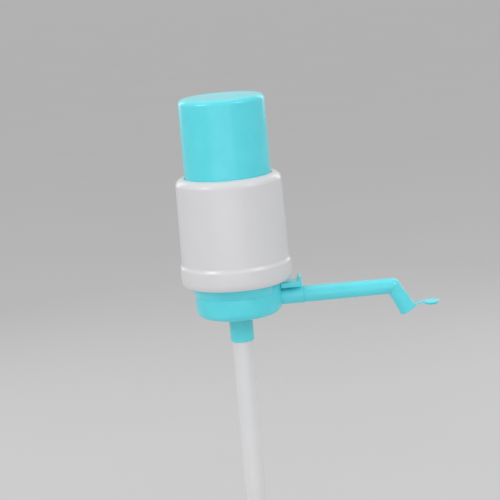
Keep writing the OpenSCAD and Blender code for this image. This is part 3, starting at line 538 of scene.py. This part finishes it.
# the long straight, the bend and the flared nozzle
STRAIGHT_FROM, STRAIGHT_TO = 50.15, BEND_X - 8
rows += [straight_row(STRAIGHT_FROM + (STRAIGHT_TO - STRAIGHT_FROM) * k / LENGTH_ROWS,
                      R_SPOUT + (R_MID - R_SPOUT) * k / LENGTH_ROWS) for k in range(1, LENGTH_ROWS + 1)]
rows += [bend_row(R_MID + (R_NOZZLE + 0.2 - R_MID) * k / BEND_ROWS, k / BEND_ROWS)
         for k in range(BEND_ROWS + 1)]
rows += [nozzle_row(x, R_NOZZLE + FLARE * x) for x in (7.5, 12, 17, NOZZLE_L - 0.6)]
for k in range(1, 6):
    t = math.pi / 2 * k / 5
    rows.append(nozzle_row(NOZZLE_L - 0.45 * (1 - math.sin(t)), R_END - 0.45 * (1 - math.cos(t))))
# back through the bore
rows += [nozzle_row(x, r) for x, r in ((NOZZLE_L, 5.35), (NOZZLE_L - 0.1, 5.15), (NOZZLE_L - 0.3, R_MOUTH),
                                       (14.65, R_MOUTH), (14.6, R_BORE), (7.5, R_BORE))]
rows += [bend_row(R_BORE, k / BEND_ROWS) for k in range(BEND_ROWS, -1, -1)]
rows += [straight_row(x, R_BORE) for x in (110, 80, 52.0)]
rows += [straight_row(51.9, R_SPIGOT_IN)]

# Z runs out of the nozzle here, with 0 at its mouth, and the strap lies on the -X side.
at_mouth = Matrix.Translation((BEND_X, 0, Z_SPOUT)) @ Matrix.Rotation(math.pi - TILT, 4, "Y") @ \
    Matrix.Translation((0, 0, NOZZLE_L))
STRAP_HALF, STRAP_IN = 3.0, -5.8
strap_in = slab(soften([(0.55 - HINGE_R, -0.65, 0.2), (STRAP_IN, -0.65, 0.1), (STRAP_IN, -0.05, 0.1),
                        (0.55 - HINGE_R, -0.05, 0.2)], 3), -STRAP_HALF, STRAP_HALF, 0.15)
spout = put("spout_tube", *merged(lofted(rows, close=True), moved(strap_in, at_mouth)), turquoise)
finish_piece(spout, "spout", "spout")

# ---------------------------------------------------------------- outlet cap

R_PLUG_END, R_PLUG, R_DISC, DISC_LOW, DISC_TOP, PLUG_END = 3.95, 4.95, 6.6, 0.1, 1.1, -1.4
plug_line = soften([(0, 0.05, 0), (R_PLUG_END, 0.05, 0.2), (R_PLUG_END, PLUG_END, 0.2),
                    (4.75, PLUG_END, 0.2), (R_PLUG, -1.05, 0.2), (R_PLUG, DISC_LOW, 0.1),
                    (R_DISC, DISC_LOW, 0.2), (R_DISC, DISC_TOP, 0.35), (0, DISC_TOP, 0)], 5)
plug = turned(plug_line, 72)
strap = slab(soften([(-HINGE_R, DISC_LOW, 0.1), (STRAP_IN, 0.5, 0.1), (STRAP_IN, DISC_TOP, 0.1),
                     (-HINGE_R, 0.7, 0.2)], 3), -STRAP_HALF, STRAP_HALF, 0.15)
bead = rod(0.45, -STRAP_HALF, STRAP_HALF, 0.15, 24, Matrix.Translation((-HINGE_R, 0, 0)) @ ABOUT_Y)
swing = at_mouth @ Matrix.Translation((-HINGE_R, 0, 0)) @ Matrix.Rotation(-OPEN, 4, "Y") @ \
    Matrix.Translation((HINGE_R, 0, 0))
cap = put("outlet_stopper", *merged(plug, strap, bead), turquoise, place=swing)
finish_piece(cap, "outlet_cap", "outlet_cap")

# ---------------------------------------------------------------- release lever

LEVER_IN, LEVER_END, Z_PLATE, Z_PLATE_TOP, Z_SIDE = 32.0, 49.3, 5.0, 6.6, 2.8
LEVER_HALF, SIDE_T, Z_THUMB, THUMB_X = 7.4, 1.2, 11.0, 48.6
EAR_FROM, EAR_TO, EAR_IN, EAR_T = 34.5, 37.9, 2.7, 1.2
R_CLEAR = 33.6                                          # the lever's inner end keeps off the base's wall
lever_line = soften([(LEVER_IN, Z_SIDE, 0.1), (LEVER_END, Z_SIDE, 0.7), (LEVER_END, Z_PLATE, 1.0),
                     (THUMB_X, Z_THUMB, 0.7), (46.8, Z_THUMB, 0.7), (46.7, Z_PLATE_TOP, 3.4),
                     (LEVER_IN, Z_PLATE_TOP, 0.1)], 6)
lever = put("lever_body", *slab(lever_line, -LEVER_HALF, LEVER_HALF, 0.4), turquoise)
hollow = slab([(30, 0), (52, 0), (52, Z_PLATE), (30, Z_PLATE)], SIDE_T - LEVER_HALF, LEVER_HALF - SIDE_T,
              0.0, "y", 1)
combine(lever, "DIFFERENCE", put("hollow_tool", *hollow, turquoise))
ear_line = soften([(EAR_FROM, 1.65, 1.7), (EAR_TO, 1.65, 1.7), (EAR_TO, 5.8, 0.1), (EAR_FROM, 5.8, 0.1)], 8)
ears = [slab(ear_line, low, low + EAR_T, 0.15) for low in (-EAR_IN - EAR_T, EAR_IN)]
arm = slab(soften([(34.8, 5.2, 0.1), (36.4, 5.2, 0.1), (36.4, 11.8, 0.6), (34.8, 11.8, 0.5)], 4),
           -3.6, 3.6, 0.4)
peg = moved(rod(1.15, 4.3, 5.4, 0.2, 40), Matrix.Translation((SPRING_X, 0, 0)))
for part in (*ears, arm, peg):
    combine(lever, "UNION", put("lever_tool", *part, turquoise))
combine(lever, "DIFFERENCE", put("wall_tool", *rod(R_CLEAR, 2.0, 7.5, 0.0, 256), turquoise))
smooth(lever, 32)
finish_piece(lever, "release_lever", "release_lever")

# ---------------------------------------------------------------- release spring

TURNS, R_COIL, R_WIRE, COIL_LOW, COIL_HIGH = 2.25, 1.6, 0.25, 2.35, 4.72
COIL_STEPS, WIRE_SIDES = 90, 12
COIL_START = math.pi / 2                                # turns the coil's top end to the pivot's side
coil = []
for i in range(COIL_STEPS + 1):
    t = i / COIL_STEPS
    a = 2 * math.pi * TURNS * t + COIL_START
    centre = Vector((R_COIL * math.cos(a), R_COIL * math.sin(a), COIL_LOW + (COIL_HIGH - COIL_LOW) * t))
    out = Vector((math.cos(a), math.sin(a), 0))
    ring = []
    for k in range(WIRE_SIDES):
        b = 2 * math.pi * k / WIRE_SIDES
        ring.append(tuple(centre + out * R_WIRE * math.cos(b) + Vector((0, 0, R_WIRE * math.sin(b)))))
    coil.append(ring)
spring = put("lever_spring", *lofted(coil), steel, crease=50, place=Matrix.Translation((SPRING_X, 0, 0)))
finish_piece(spring, "base", "release_spring")
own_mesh(spring)

# ---------------------------------------------------------------- camera, floor, lights

ROLL = math.radians(-5.06)
camera_data = bpy.data.cameras.new("camera")
camera_data.lens = 114.05
camera_data.sensor_width = 36
camera_data.clip_start, camera_data.clip_end = 0.05, 60
camera = bpy.data.objects.new("camera", camera_data)
bpy.context.scene.collection.objects.link(camera)
bpy.context.scene.camera = camera
camera.location = (0, -1.190, 0.269)
aim = Vector((0.0118, 0, 0.0334)) - camera.location
camera.rotation_mode = "QUATERNION"
camera.rotation_quaternion = aim.to_track_quat("-Z", "Y") @ Quaternion((0, 0, 1), ROLL)

FLOOR_Z, FLOOR_HALF = -0.32, 30
floor_mesh = bpy.data.meshes.new("floor")
floor_corners = [(x * FLOOR_HALF, y * FLOOR_HALF, FLOOR_Z) for x, y in ((-1, -1), (1, -1), (1, 1), (-1, 1))]
floor_mesh.from_pydata(floor_corners, [], [(0, 1, 2, 3)])
floor = bpy.data.objects.new("floor", floor_mesh)
bpy.context.scene.collection.objects.link(floor)
paper = shade("paper", (0.57, 0.57, 0.57), (0.58, 0.58, 0.58), 0.9, scale=3.0, bump=0.0)
floor_mesh.materials.append(paper)

# The sky starts at the far floor's tone and pales upwards.
FAR_TONE, SKY_TONE, FADE_TO = 0.615, 1.0, 0.22
world = bpy.data.worlds.new("studio")
bpy.context.scene.world = world
world.use_nodes = True
wn, wl = world.node_tree.nodes, world.node_tree.links
back = wn["Background"]
back.inputs["Strength"].default_value = 0.73
ray = wn.new("ShaderNodeTexCoord")
split = wn.new("ShaderNodeSeparateXYZ")
wl.new(ray.outputs["Generated"], split.inputs["Vector"])
haze = wn.new("ShaderNodeValToRGB")
haze.color_ramp.interpolation = "EASE"
haze.color_ramp.elements[0].position = 0.0
haze.color_ramp.elements[0].color = (FAR_TONE, FAR_TONE, FAR_TONE, 1)
haze.color_ramp.elements[1].position = FADE_TO
haze.color_ramp.elements[1].color = (SKY_TONE, SKY_TONE, SKY_TONE, 1)
wl.new(split.outputs["Z"], haze.inputs["Fac"])
wl.new(haze.outputs["Color"], back.inputs["Color"])


def panel(name, place, size, power, aim_at=(0, 0, 0.06)):
    """A soft rectangular lamp, turned towards the middle of the pump."""
    data = bpy.data.lights.new(name, "AREA")
    data.shape = "RECTANGLE"
    data.size, data.size_y = size
    data.energy = power
    lamp = bpy.data.objects.new(name, data)
    bpy.context.scene.collection.objects.link(lamp)
    lamp.location = place
    lamp.rotation_mode = "QUATERNION"
    lamp.rotation_quaternion = (Vector(aim_at) - Vector(place)).to_track_quat("-Z", "Y")


panel("key", (-1.15, -0.72, 0.9), (0.6, 0.4), 5.0)
panel("fill", (1.1, -0.85, 0.9), (0.6, 0.4), 3.4)
panel("front", (-0.25, -1.7, 0.16), (2.0, 0.8), 3.6)
panel("top", (0.0, 0.2, 1.4), (1.2, 1.2), 3)
panel("left_edge", (-0.7, 0.95, 0.42), (0.3, 0.8), 1.2)
panel("right_edge", (0.7, 0.95, 0.42), (0.3, 0.8), 1.2)

bpy.context.scene.view_settings.view_transform = "Standard"
